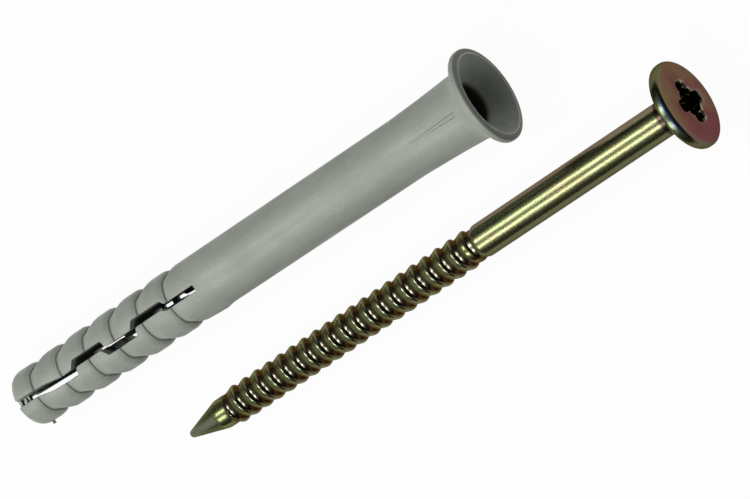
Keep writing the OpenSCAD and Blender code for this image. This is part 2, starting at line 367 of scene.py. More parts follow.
# %% [markdown]
# ## The sleeve's grid
#
# The sleeve is one closed grid. Its rows run up the outside, over the rim, down the funnel and the
# bore, back to the tip. Its columns come in four groups: two half shells, and two narrow gaps that
# exist only beyond the end of the slot. Beside the slot a few close columns round the edge, and
# rows are added wherever the slot turns, so that no bend falls between two rows.

# %% Sleeve rows and columns
SLOT_EDGE_ROUND = 0.07
EDGE_STEPS = ((0.0, 1.0), (0.13, 0.5), (0.5, 0.13), (1.0, 0.0))
PARTING_PLACES = (-0.16, -0.06, -0.03)
SHELL_FILL = 12
STEEPEST = 0.98
ROW_GAP = 0.004
HAIR = 0.01
OUTSIDE_R = 2.5
FLASH_FROM = 22.6
FLASH_ROWS = [FLASH_FROM + 0.25 * i for i in range(1, 14)]
SHANK_ROWS = [28.0 + 2.0 * i for i in range(11)]
BORE_ROWS = [44.0, 36.0, 30.0, 26.0]
THROAT_ROWS = [12.0, 4.0, 0.08]


def add_rows(outline, heights):
    """Put extra rows into an outline that climbs, at the given heights."""
    rows = []
    waiting = list(heights)
    for (r0, z0), (r1, z1) in zip(outline, outline[1:]):
        rows.append((r0, z0))
        while waiting and waiting[0] < z1 - ROW_GAP:
            z = waiting.pop(0)
            if z > z0 + ROW_GAP:
                rows.append((r0 + (r1 - r0) * (z - z0) / (z1 - z0), z))
    rows.append(outline[-1])
    return rows


def sleeve_rows():
    """Rows (r, z, inside) of the closed path: up the outside, over the rim and down the bore."""
    outside = [i for i, (r, z) in enumerate(sleeve_outline) if z < neck_foot + HAIR and r > OUTSIDE_R]
    past_shank = outside[-1] + 1
    fade = [SLOT_END + step * SLOT_EDGE_ROUND for step, drop in EDGE_STEPS]
    plain = [z for z in FLASH_ROWS + SHANK_ROWS if z > fade[-1] + ROW_MARGIN]
    climbing = add_rows(sleeve_outline[:past_shank], sorted(turning_heights + fade + plain))
    rows = [(r, z, False) for r, z in climbing]
    rows += [(r, z, r < BORE_R + HAIR) for r, z in sleeve_outline[past_shank:]]
    throat = turning_heights + [SLOT_END, SLOT_END - THROAT_TAPER] + THROAT_ROWS
    rows += [(bore_r_at(z), z, True) for z in BORE_ROWS + sorted(throat, reverse=True)]
    return rows


def shell_angles(r, y_below, y_above):
    """Angles of one half shell, from the slot's edge below round to its edge above."""
    quarter = math.pi / 2.0
    side = [quarter + place / r for place in PARTING_PLACES]
    halves = []
    for y in (y_below, y_above):
        edge = [math.asin(min(STEEPEST, (y + step * SLOT_EDGE_ROUND) / r)) for step, drop in EDGE_STEPS]
        reach = side[0] - edge[-1]
        fill = [edge[-1] + reach * i / (SHELL_FILL + 1) for i in range(1, SHELL_FILL + 1)]
        halves.append(edge + fill + side)
    return halves[0] + [quarter] + [math.pi - angle for angle in reversed(halves[1])]


print("sleeve rows:", len(sleeve_rows()))

# %% [markdown]
# ## Marks of the mould
#
# A mould leaves traces. Where its halves meet, a thin ridge runs along both sides, with a stretch
# of flash on one of them. Two short wedges stiffen the neck. At the sides the barbs are notched
# deeper and their steps bow towards the collar. They could be separate pieces or a bump, but they
# show in the outline, so they are added to the radius of the grid itself.

# %% Marks in the radius
PARTING_HEIGHT = 0.025
PARTING_HALF = 0.05
PARTING_EASE = 3.0
FLASH_TO = 25.6
FLASH_HEIGHT = 0.14
FLASH_RISE = 0.6
FLASH_FADE = 1.4
RIB_FOOT = 50.6
RIB_TOP = 57.2
RIB_HEIGHT = 0.19
RIB_HALF = 0.2
RIB_REACH = 0.6
RIB_END = 0.5
RIB_SPARE = 0.08
RIB_SOFT = 0.14
STEP_BOW = 0.36
NOTCH_SHARE = 0.55
NOTCH_SIDE = 0.76
BARBS_RISE = 2.4
BARBS_PAST = 2.0
BARBS_FADE = 3.0
SKIN_R = 2.4


def parting_line(r, z, angle):
    height = PARTING_HEIGHT * smooth(z / PARTING_EASE)
    if math.sin(angle) < 0:
        flash = FLASH_HEIGHT * smooth((z - FLASH_FROM) / FLASH_RISE)
        height += flash * smooth((FLASH_TO - z) / FLASH_FADE)
    return height * max(0.0, 1.0 - abs(r * math.cos(angle)) / PARTING_HALF)


def neck_rib(r, z, angle):
    across = abs(r * math.sin(angle))
    if z <= RIB_FOOT or across >= RIB_REACH:
        return 0.0
    share = (z - RIB_FOOT) / (RIB_TOP - RIB_FOOT)
    wedge = RIB_HEIGHT * share * smooth((RIB_TOP + RIB_END - z) / RIB_END)
    return wedge * smooth((RIB_HALF * share + RIB_SPARE - across) / RIB_SOFT)


def sleeve_point(r, z, inside, angle, drop, open_share):
    """Point of the sleeve's skin, marked by the mould and rounded off beside the open slot."""
    added = 0.0
    if not inside and r > SKIN_R and z < RIM_BACK:
        in_barbs = smooth(z / BARBS_RISE) * smooth((SLOT_END + BARBS_PAST - z) / BARBS_FADE)
        bowed = in_barbs * smooth((abs(math.sin(angle)) - NOTCH_SIDE) / (1.0 - NOTCH_SIDE))
        added = parting_line(r, z, angle) + neck_rib(r, z, angle)
        added -= max(0.0, SHANK_R - r) * NOTCH_SHARE * bowed
        z += STEP_BOW * bowed
    inward = -1.0 if inside else 1.0
    radius = r + added - inward * drop * SLOT_EDGE_ROUND * open_share
    return Vector((radius * math.cos(angle), radius * math.sin(angle), z))


print("rib at its top (mm):", round(neck_rib(NECK_R, RIB_TOP, 0.0), 3))

# %% [markdown]
# ## The sleeve's mesh
#
# Now the rows become lines of vertices and the lines become bands of faces. The walls of the slot
# have more rows outside than inside, so they are zipped shut: at each step the edge that lags
# behind moves on. Small blocks bridge the slot near the tip and in the wall below, and a hair of
# flash hangs at the nose. They are bedded in the walls, as webs of the same moulding.

# %% Lines of the sleeve
GAP_ABOVE = (0.33, 0.26, 0.215, 0.16, 0.08, 0.0, -0.08, -0.16, -0.215)
GAP_BELOW = (-0.16, -0.1, -0.03, 0.04, 0.11)


def half_line(bm, row, mirror, open_share):
    """Vertices of one row of a half shell."""
    r, z, inside = row
    y_below = mirror * edge_at(slot_edges[mirror, "below"], z)
    y_above = mirror * edge_at(slot_edges[mirror, "core" if inside else "above"], z)
    angles = shell_angles(r, y_below, y_above)
    drops = [drop for step, drop in EDGE_STEPS]
    drops = drops + [0.0] * (len(angles) - 2 * len(drops)) + drops[::-1]
    points = [sleeve_point(r, z, inside, mirror * a, drop, open_share) for a, drop in zip(angles, drops)]
    return [bm.verts.new(point) for point in points]


def gap_line(bm, row, leans, open_share):
    """Vertices of one row of a gap, at the given angles."""
    return [bm.verts.new(sleeve_point(*row, angle, 1.0, open_share)) for angle in leans]


def sleeve_lines(bm, rows, outer_end, inner_end):
    """Lines of vertices for each row: both halves, and both gaps with the edges beside them."""
    upper = []
    lower = []
    below = []
    above = []
    for i, row in enumerate(rows):
        r, z, inside = row
        beyond = max(0.0, min(1.0, (z - SLOT_END) / SLOT_EDGE_ROUND))
        open_share = 1.0 - math.sqrt(beyond * (2.0 - beyond))
        if inside and beyond > 0.0:
            open_share = 0.0
        upper.append(half_line(bm, row, 1, open_share))
        lower.append(half_line(bm, row, -1, open_share))
        closed = outer_end <= i <= inner_end
        leans_below = [math.asin(place / r) for place in GAP_BELOW] if closed else []
        leans_above = [math.pi - math.asin(place / r) for place in GAP_ABOVE] if closed else []
        below.append([lower[i][0], *gap_line(bm, row, leans_below, open_share), upper[i][0]])
        above.append([upper[i][-1], *gap_line(bm, row, leans_above, open_share), lower[i][-1]])
    return (upper, lower), (below, above)


# %% Walls and bridges
BRIDGE_DEPTH = 0.5
# Each row: x, y and width of the blocks, and the heights between which they stand.
BRIDGES = (
    (-2.05, 0.03, 1.24, ((0.1, 0.42), (0.84, 1.08), (1.3, 1.5))),
    (2.3, 0.29, 0.56, ((17.0, 17.35), (18.5, 19.2))),
    (0.0, -SHANK_R, 0.5, ((0.87, 0.94),)),
)


def zip_wall(bm, outer, inner):
    """Close the wall of the slot between its outer and its inner edge, row by row."""
    a = 0
    b = 0
    while a < len(outer) - 1 or b < len(inner) - 1:
        take_outer = b == len(inner) - 1
        if a < len(outer) - 1 and b < len(inner) - 1:
            take_outer = outer[a + 1].co.z <= inner[b + 1].co.z
        if take_outer:
            bm.faces.new((outer[a], outer[a + 1], inner[b]))
            a += 1
        else:
            bm.faces.new((outer[a], inner[b + 1], inner[b]))
            b += 1


def add_bridge(bm, x, y, width, low, high):
    """A small block across the slot, bedded in the wall on both sides of it."""
    lies = Matrix.Translation((x, y, (low + high) / 2.0))
    stretched = Matrix.Diagonal((BRIDGE_DEPTH, width, high - low, 1.0))
    bmesh.ops.create_cube(bm, size=1.0, matrix=lies @ stretched)


# %% Sleeve mesh
TINY = 1e-6


def build_sleeve():
    bm = bmesh.new()
    rows = sleeve_rows()
    count = len(rows)
    past_slot = [i for i, (r, z, inside) in enumerate(rows) if z >= SLOT_END - TINY]
    outer_end = past_slot[0]
    inner_end = past_slot[-1]
    halves, gaps = sleeve_lines(bm, rows, outer_end, inner_end)
    for i in range(count):
        closed = outer_end <= i < inner_end
        for lines in halves + gaps if closed else halves:
            band(bm, lines[i], lines[(i + 1) % count])
    for half in halves:
        for column in (0, -1):
            outer = [half[i][column] for i in range(outer_end + 1)]
            inner = [half[i][column] for i in range(count - 1, inner_end - 1, -1)]
            zip_wall(bm, outer, inner)
    for gap in gaps:
        band(bm, gap[outer_end], gap[inner_end])
    for x, y, width, heights in BRIDGES:
        for low, high in heights:
            add_bridge(bm, x, y, width, low, high)
    return bm


plug_sleeve = mesh_object("sleeve_moulding", build_sleeve(), sleeve_lies)

# %% [markdown]
# ## The nail's thread
#
# A thread is a rule, so Geometry Nodes draw it. A flat grid becomes the skin: one side of the grid
# is the angle, the other the height. Height over pitch, less the share of the turn, gives the
# place along the tooth, and a Float Curve turns that place into the tooth's height. A cosine would
# do for a plain wave, but this tooth leans, because a nail's thread is made to go in easily and to
# come out hard. It rises fast behind the tip and runs out more slowly towards the head.

# %% Node helpers
def add(tree, kind, **settings):
    made = tree.nodes.new(kind)
    for name, value in settings.items():
        setattr(made, name, value)
    return made


def feed(tree, socket, value):
    """Link a socket, or set it where the value is a plain number, colour or vector."""
    if isinstance(value, bpy.types.NodeSocket):
        tree.links.new(value, socket)
    elif value is not None:
        socket.default_value = value


def math_node(tree, operation, first, second=None):
    made = add(tree, "ShaderNodeMath", operation=operation)
    feed(tree, made.inputs[0], first)
    feed(tree, made.inputs[1], second)
    return made.outputs[0]


def times(tree, first, second):
    return math_node(tree, "MULTIPLY", first, second)


def plus(tree, first, second):
    return math_node(tree, "ADD", first, second)


def minus(tree, first, second):
    return math_node(tree, "SUBTRACT", first, second)


# %% Thread skin
# Points (place along the tooth, height) of the leaning tooth, both from 0 to 1.
TOOTH = (
    (0.0, 0.0),
    (0.09, 0.01),
    (0.2, 0.1),
    (0.7, 0.9),
    (0.8, 1.0),
    (0.87, 0.86),
    (0.96, 0.06),
    (1.0, 0.0),
)
END_HASTE = 0.56
HALF_GRID = 0.5


def tooth_height(tree, along):
    """The tooth's height, from 0 to 1, at a place along it."""
    made = add(tree, "ShaderNodeFloatCurve")
    curve = made.mapping.curves[0]
    for place_on, height_on in TOOTH[1:-1]:
        curve.points.new(place_on, height_on)
    curve.points[0].location = TOOTH[0]
    curve.points[-1].location = TOOTH[-1]
    made.mapping.update()
    feed(tree, made.inputs["Value"], along)
    return made.outputs["Value"]


def thread_skin(tree, given):
    """Place of each point of the grid on the threaded wire."""
    flat = add(tree, "ShaderNodeSeparateXYZ")
    feed(tree, flat.inputs[0], add(tree, "GeometryNodeInputPosition").outputs[0])
    turn = plus(tree, flat.outputs["X"], HALF_GRID)
    climb = times(tree, plus(tree, flat.outputs["Y"], HALF_GRID), given["Length"])
    raised = math_node(tree, "DIVIDE", plus(tree, climb, given["Phase"]), given["Pitch"])
    ridge = tooth_height(tree, math_node(tree, "FRACT", minus(tree, raised, turn)))
    left = times(tree, minus(tree, given["Length"], climb), END_HASTE)
    reach = times(tree, given["Rise"], given["Pitch"])
    share = math_node(tree, "DIVIDE", math_node(tree, "MINIMUM", climb, left), reach)
    share = math_node(tree, "MINIMUM", math_node(tree, "MAXIMUM", share, 0.0), 1.0)
    depth = minus(tree, given["Crest Radius"], given["Root Radius"])
    radius = plus(tree, times(tree, times(tree, ridge, share), depth), given["Root Radius"])
    angle = times(tree, turn, math.tau)
    skin = add(tree, "ShaderNodeCombineXYZ")
    feed(tree, skin.inputs["X"], times(tree, math_node(tree, "COSINE", angle), radius))
    feed(tree, skin.inputs["Y"], times(tree, math_node(tree, "SINE", angle), radius))
    feed(tree, skin.inputs["Z"], plus(tree, climb, given["Start"]))
    return skin.outputs[0]


# %% Thread tree
THREAD_SIZES = ("Start", "Length", "Pitch", "Root Radius", "Crest Radius", "Rise", "Phase")


def thread_tree():
    tree = bpy.data.node_groups.new("leaning_thread", "GeometryNodeTree")
    tree.interface.new_socket("Geometry", in_out="OUTPUT", socket_type="NodeSocketGeometry")
    for name in THREAD_SIZES:
        tree.interface.new_socket(name, in_out="INPUT", socket_type="NodeSocketFloat")
    for name in ("Sides", "Rows"):
        tree.interface.new_socket(name, in_out="INPUT", socket_type="NodeSocketInt")
    tree.interface.new_socket("Finish", in_out="INPUT", socket_type="NodeSocketMaterial")
    given = add(tree, "NodeGroupInput").outputs
    grid = add(tree, "GeometryNodeMeshGrid")
    feed(tree, grid.inputs["Size X"], 1.0)
    feed(tree, grid.inputs["Size Y"], 1.0)
    feed(tree, grid.inputs["Vertices X"], plus(tree, given["Sides"], 1.0))
    feed(tree, grid.inputs["Vertices Y"], given["Rows"])
    shape = add(tree, "GeometryNodeSetPosition")
    feed(tree, shape.inputs["Geometry"], grid.outputs["Mesh"])
    feed(tree, shape.inputs["Position"], thread_skin(tree, given))
    seam = add(tree, "GeometryNodeMergeByDistance")
    feed(tree, seam.inputs["Geometry"], shape.outputs[0])
    feed(tree, seam.inputs["Distance"], WELD)
    real = add(tree, "GeometryNodeRealizeInstances")
    feed(tree, real.inputs[0], seam.outputs[0])
    finish = add(tree, "GeometryNodeSetMaterial")
    feed(tree, finish.inputs["Geometry"], real.outputs[0])
    feed(tree, finish.inputs["Material"], given["Finish"])
    feed(tree, add(tree, "NodeGroupOutput").inputs[0], finish.outputs[0])
    return tree


leaning_thread = thread_tree()
print("nodes in the thread's tree:", len(leaning_thread.nodes))

# %% Grown thread
THREAD_START = 5.9
THREAD_LENGTH = 32.3
THREAD_PITCH = 1.58
ROOT_R = 1.5
CREST_R = 1.81
THREAD_RISE = 0.3
THREAD_PHASE = 0.3266
NAIL_SIDES = 96
THREAD_ROWS = 520


def grown(name, tree, values):
    """Run a tree on an empty mesh and give its result as a plain mesh."""
    host = bpy.data.objects.new(name, bpy.data.meshes.new(name))
    bpy.context.scene.collection.objects.link(host)
    modifier = host.modifiers.new(name, "NODES")
    modifier.node_group = tree
    for item in tree.interface.items_tree:
        if item.in_out == "INPUT" and item.name in values:
            modifier[item.identifier] = values[item.name]
    seen = host.evaluated_get(bpy.context.evaluated_depsgraph_get())
    mesh = bpy.data.meshes.new_from_object(seen)
    host.modifiers.remove(modifier)
    bpy.data.objects.remove(host)
    print(name, "grown, points:", len(mesh.vertices))
    return mesh


plating = bpy.data.materials.new("yellow_plating")
thread_mesh = grown(
    "nail_thread",
    leaning_thread,
    {
        "Start": THREAD_START,
        "Length": THREAD_LENGTH,
        "Pitch": THREAD_PITCH,
        "Root Radius": ROOT_R,
        "Crest Radius": CREST_R,
        "Rise": THREAD_RISE,
        "Phase": THREAD_PHASE,
        "Sides": NAIL_SIDES,
        "Rows": THREAD_ROWS,
        "Finish": plating,
    },
)

# %% [markdown]
# ## The rest of the nail
#
# The point, the shoulder, the plain shank and the disc head are turned from two profiles with as
# many sides as the thread has, so the three skins weld into one. A forged head is never quite
# true: this one is thin, sits a little out of square, and its cross recess is off centre, with one
# pair of wings worn wider. The recess is a stack of outlines, wide at the mouth and narrow at the
# floor, and the face of the head is filled between the rim and the mouth.

# %% Nail profiles
POINT_START = 0.2
POINT_LENGTH = 4.6
POINT_ROUND = 0.42
POINT_TURN = -88
SEAT_R = 1.53
SEAT_ROUND = 1.6
SEAT_RUN = 0.3
SHOULDER = 0.6
SHOULDER_EASE = 0.7
SHOULDER_POINTS = 10
NAIL_SHANK_R = 1.675
SHANK_POINTS = 12
HEAD_R = 4.37
HEAD_BACK = 62.55
HEAD_FRONT = 63.75
HEAD_ROUND = 0.5
HEAD_FILLET = 0.5
ARC_POINTS = 8

thread_end = THREAD_START + THREAD_LENGTH


def turn_profile(bm, profile):
    angles = [math.tau * i / NAIL_SIDES for i in range(NAIL_SIDES)]
    rings = []
    for r, z in profile:
        rings.append([bm.verts.new((r * math.cos(a), r * math.sin(a), z)) for a in angles])
    for low, high in zip(rings, rings[1:]):
        band(bm, low, high, closed=True)
    return rings


def point_profile():
    cone = math.degrees(math.atan2(ROOT_R, POINT_LENGTH - POINT_START))
    profile = arc(0.0, POINT_START + POINT_ROUND, POINT_ROUND, POINT_TURN, -cone, ARC_POINTS)
    corners = [(*profile[-1], 0.0), (SEAT_R, POINT_LENGTH, SEAT_ROUND)]
    corners += [(SEAT_R, THREAD_START - SEAT_RUN, 0.0), (ROOT_R, THREAD_START, 0.0)]
    return profile + rounded(corners, steps=ARC_POINTS)[1:]


def stem_profile():
    profile = []
    for i in range(SHOULDER_POINTS + 1):
        share = i / SHOULDER_POINTS
        swollen = ROOT_R + (NAIL_SHANK_R - ROOT_R) * smooth(share ** SHOULDER_EASE)
        profile.append((swollen, thread_end + SHOULDER * share))
    shank_foot = thread_end + SHOULDER
    shank_top = HEAD_BACK - HEAD_FILLET
    for i in range(1, SHANK_POINTS):
        profile.append((NAIL_SHANK_R, shank_foot + (shank_top - shank_foot) * i / SHANK_POINTS))
    profile += arc(NAIL_SHANK_R + HEAD_FILLET, shank_top, HEAD_FILLET, 180, 90, ARC_POINTS)
    profile += arc(HEAD_R - HEAD_ROUND, HEAD_BACK + HEAD_ROUND, HEAD_ROUND, -90, 0, ARC_POINTS)
    profile += arc(HEAD_R - HEAD_ROUND, HEAD_FRONT - HEAD_ROUND, HEAD_ROUND, 0, 90, ARC_POINTS)
    return profile


print("points of the nail's profiles:", len(point_profile()), len(stem_profile()))

# %% Cross recess
RECESS_DEPTH = 1.95
RECESS_SHIFT = 0.3
SHIFT_LOSS = 0.6
WING_HALF = 0.625
WING_END = 0.5
WING_CHAMFER = 0.3
WING_WEAR = 1.3
WEAR_FROM = 1.0
CORNER_CUT = 0.31 * math.sqrt(2.0) / 2.0 + 0.2
CORNER_GAP = 0.012
CORNER_LIFT = 0.004
CORNER_STEP = (0.05, 0.09)
STEPPED_FROM = 0.9
MOUTH_ROUND = 0.13
# Each level: span of the wings, reach of the corners, growth all round, depth.
RECESS_LEVELS = (
    (4.3, 1.12, MOUTH_ROUND, 0.0),
    (4.3, 1.12, MOUTH_ROUND * 0.3, MOUTH_ROUND * 0.3),
    (4.3, 1.12, 0.0, MOUTH_ROUND),
    (3.4, 0.9, -0.01, 0.55),
    (2.0, 0.5, -0.05, RECESS_DEPTH),
)


def recess_outline(span, corner, grow):
    """Cross outline, a quarter at a time: wings of the given span with small stepped corners."""
    half = span / 2.0 + grow
    wide = WING_HALF + grow
    reach = corner + grow
    inner = max(wide + CORNER_GAP, reach * math.sqrt(2.0) - CORNER_CUT)
    step_out, step_up = CORNER_STEP if reach > STEPPED_FROM else (0.0, 0.0)
    step_up += CORNER_LIFT
    quarter = [
        (half, -wide * WING_END),
        (half, wide * WING_END),
        (half - WING_CHAMFER, wide),
        (inner, wide),
        (inner + step_out, wide + step_up),
        (wide + step_up, inner + step_out),
        (wide, inner),
        (wide, half - WING_CHAMFER),
    ]
    outline = []
    for turn in range(4):
        angle = turn * math.pi / 2.0
        for x, y in quarter:
            turned_x = x * math.cos(angle) - y * math.sin(angle)
            turned_y = x * math.sin(angle) + y * math.cos(angle)
            if abs(turned_y) > WEAR_FROM:
                turned_x *= WING_WEAR
            outline.append((turned_x, turned_y))
    return outline


def recess_loops(bm):
    loops = []
    for span, corner, grow, depth in RECESS_LEVELS:
        shift = RECESS_SHIFT * (1.0 - SHIFT_LOSS * depth / RECESS_DEPTH)
        outline = recess_outline(span, corner, grow)
        loops.append([bm.verts.new((x + shift, y, HEAD_FRONT - depth)) for x, y in outline])
    for low, high in zip(loops, loops[1:]):
        band(bm, low, high, closed=True)
    bm.faces.new(loops[-1])
    return loops


print("recess levels:", len(RECESS_LEVELS), "from the mouth to (mm):", RECESS_DEPTH)

# %% Nail mesh
HEAD_SKEW = math.tan(math.radians(2.8))
HEAD_BEND = 1.2


def loop_edges(bm, loop):
    return [bm.edges.get((loop[i - 1], loop[i])) for i in range(len(loop))]


def build_nail():
    bm = bmesh.new()
    bm.from_mesh(thread_mesh)
    point_rings = turn_profile(bm, point_profile())
    bm.faces.new(point_rings[0][::-1])
    rim = turn_profile(bm, stem_profile())[-1]
    mouth = recess_loops(bm)[0]
    face_edges = loop_edges(bm, rim) + loop_edges(bm, mouth)
    bmesh.ops.triangle_fill(bm, use_beauty=True, use_dissolve=False, edges=face_edges)
    for vert in bm.verts:
        bent = smooth((vert.co.z - HEAD_BACK + HEAD_BEND) / HEAD_BEND)
        vert.co.z += vert.co.x * HEAD_SKEW * bent
    return bm


nail_screw = mesh_object("nail_forging", build_nail(), nail_lies)

# %% [markdown]
# ## Effects that both finishes share
#
# Moulded nylon and plated steel look nothing alike, but both are uneven in the same ways: soft
# clouds of colour, fine lines that run along the piece, and a few specks. Each of these is a shader
# node group, built once and placed in each finish with its own sizes. A texture could read Object
# coordinates as they are, but the pieces lie aslant on the table. So a Mapping node first turns
# them into the piece's own millimetres, with z along its axis, and every size below is a real one.


# %% Places on a piece
def opened(material):
    material.use_nodes = True
    return material.node_tree, material.node_tree.nodes["Principled BSDF"]


def own_millimetres(tree, lies):
    turned = add(tree, "ShaderNodeMapping", vector_type="TEXTURE")
    feed(tree, turned.inputs["Vector"], add(tree, "ShaderNodeTexCoord").outputs["Object"])
    feed(tree, turned.inputs["Location"], lies.translation)
    feed(tree, turned.inputs["Rotation"], lies.to_euler())
    feed(tree, turned.inputs["Scale"], (MM, MM, MM))
    return turned.outputs[0]


def own_radius(tree, place):
    """Distance from the piece's axis, and the three coordinates of the place."""
    spot = add(tree, "ShaderNodeSeparateXYZ")
    feed(tree, spot.inputs[0], place)
    flat = add(tree, "ShaderNodeVectorMath", operation="MULTIPLY")
    feed(tree, flat.inputs[0], place)
    feed(tree, flat.inputs[1], (1.0, 1.0, 0.0))
    length = add(tree, "ShaderNodeVectorMath", operation="LENGTH")
    feed(tree, length.inputs[0], flat.outputs[0])
    return length.outputs["Value"], spot.outputs


# %% Steps, blends and bump
def ramp(tree, value, low, high, out_low=0.0, out_high=1.0):
    """A soft step: the value from low to high becomes out_low to out_high."""
    made = add(tree, "ShaderNodeMapRange", interpolation_type="SMOOTHSTEP")
    for socket, given in zip(made.inputs, (value, low, high, out_low, out_high)):
        feed(tree, socket, given)
    return made.outputs[0]


def blend(tree, share, first, second):
    made = add(tree, "ShaderNodeMix", data_type="RGBA")
    colours = [socket for socket in made.inputs if socket.type == "RGBA"]
    feed(tree, made.inputs[0], share)
    feed(tree, colours[0], first)
    feed(tree, colours[1], second)
    return next(socket for socket in made.outputs if socket.type == "RGBA")


def roughen(tree, shader, height, strength, distance):
    bump = add(tree, "ShaderNodeBump")
    feed(tree, bump.inputs["Height"], height)
    feed(tree, bump.inputs["Strength"], strength)
    feed(tree, bump.inputs["Distance"], distance)
    feed(tree, shader.inputs["Normal"], bump.outputs[0])


def dress(piece, material):
    piece.data.materials.clear()
    piece.data.materials.append(material)
    print(piece.name, "wears", material.name)


# %% Effect helpers
def effect(name, sizes, result):
    """A new shader group with a Vector, the named sizes and one value that it puts out."""
    tree = bpy.data.node_groups.new(name, "ShaderNodeTree")
    tree.interface.new_socket("Vector", in_out="INPUT", socket_type="NodeSocketVector")
    for size in sizes:
        tree.interface.new_socket(size, in_out="INPUT", socket_type="NodeSocketFloat")
    tree.interface.new_socket(result, in_out="OUTPUT", socket_type="NodeSocketFloat")
    given = add(tree, "NodeGroupInput").outputs
    wanted = add(tree, "NodeGroupOutput").inputs
    return tree, given, wanted[result]


def placed(tree, group, place, **sizes):
    made = add(tree, "ShaderNodeGroup", node_tree=group)
    feed(tree, made.inputs["Vector"], place)
    for name, value in sizes.items():
        feed(tree, made.inputs[name], value)
    return made.outputs[0]


# %% Clouds, streaks and specks
CLOUD_EDGES = (0.3, 0.7)
STREAK_DETAIL = 3.0
SPECK_CORE = 0.6


def cloud_noise(tree, place, scale, detail):
    noise = add(tree, "ShaderNodeTexNoise")
    feed(tree, noise.inputs["Vector"], place)
    feed(tree, noise.inputs["Scale"], scale)
    feed(tree, noise.inputs["Detail"], detail)
    return ramp(tree, noise.outputs[0], *CLOUD_EDGES)


def clouds_group():
    tree, given, wanted = effect("soft_clouds", ("Scale", "Detail"), "Cloud")
    feed(tree, wanted, cloud_noise(tree, given["Vector"], given["Scale"], given["Detail"]))
    return tree


def streaks_group():
    tree, given, wanted = effect("long_streaks", ("Scale", "Stretch"), "Streak")
    squeeze = add(tree, "ShaderNodeCombineXYZ")
    feed(tree, squeeze.inputs["X"], 1.0)
    feed(tree, squeeze.inputs["Y"], 1.0)
    feed(tree, squeeze.inputs["Z"], math_node(tree, "DIVIDE", 1.0, given["Stretch"]))
    drawn_out = add(tree, "ShaderNodeVectorMath", operation="MULTIPLY")
    feed(tree, drawn_out.inputs[0], given["Vector"])
    feed(tree, drawn_out.inputs[1], squeeze.outputs[0])
    feed(tree, wanted, cloud_noise(tree, drawn_out.outputs[0], given["Scale"], STREAK_DETAIL))
    return tree


def specks_group():
    tree, given, wanted = effect("sparse_specks", ("Scale", "Size", "Share"), "Speck")
    cells = add(tree, "ShaderNodeTexVoronoi")
    feed(tree, cells.inputs["Vector"], given["Vector"])
    feed(tree, cells.inputs["Scale"], given["Scale"])
    core = times(tree, given["Size"], SPECK_CORE)
    dot = ramp(tree, cells.outputs["Distance"], given["Size"], core)
    channels = add(tree, "ShaderNodeSeparateColor")
    feed(tree, channels.inputs[0], cells.outputs["Color"])
    chosen = math_node(tree, "LESS_THAN", channels.outputs[0], given["Share"])
    feed(tree, wanted, times(tree, dot, chosen))
    return tree


soft_clouds = clouds_group()
long_streaks = streaks_group()
sparse_specks = specks_group()
print("shared effects:", soft_clouds.name, long_streaks.name, sparse_specks.name)

# %% [markdown]
# ## Moulded nylon
#
# The sleeve is unpolished grey-green nylon. Its skin is matt, a little cloudy where the melt
# flowed, and faintly lined along the mould. A few dark specks stand for dust and burnt grains. Down
# in the bore and the slot little light comes back, so painted shade makes the colour nearly black
# there. The front of the rim is painted darker as shade, and a pale painted highlight runs round
# the lip of the mouth. A fine bump keeps the highlight broad and soft, as moulded nylon has it.

# %% Nylon finish
NYLON_GREY = (0.305, 0.334, 0.285, 1.0)
NYLON_SHADE = (0.260, 0.285, 0.236, 1.0)
SPECK_GREY = (0.10, 0.105, 0.095, 1.0)
PAINTED_SHADE_DARK = (0.05, 0.05, 0.042, 1.0)
LIP_PAINTED_HIGHLIGHT = (0.62, 0.63, 0.52, 1.0)
BORE_SIDE = (2.35, 2.05)
BEHIND_TIP = (0.1, 0.5)
RIM_FRONT = (59.66, 59.84)
RIM_RING = (4.2, 4.35)
RIM_SHADE_SHARE = 0.5
LIP_FRONT = (59.7, 59.8)
LIP_INSIDE = (4.14, 4.22)
LIP_OUTSIDE = (4.34, 4.26)
CLOUD_SHARE = 0.6
FLOW_SHARE = 0.4
MOTTLE_SHARE = 0.12
FLOW_HEIGHT = 0.6
NYLON_ROUGH = (0.56, 0.44)


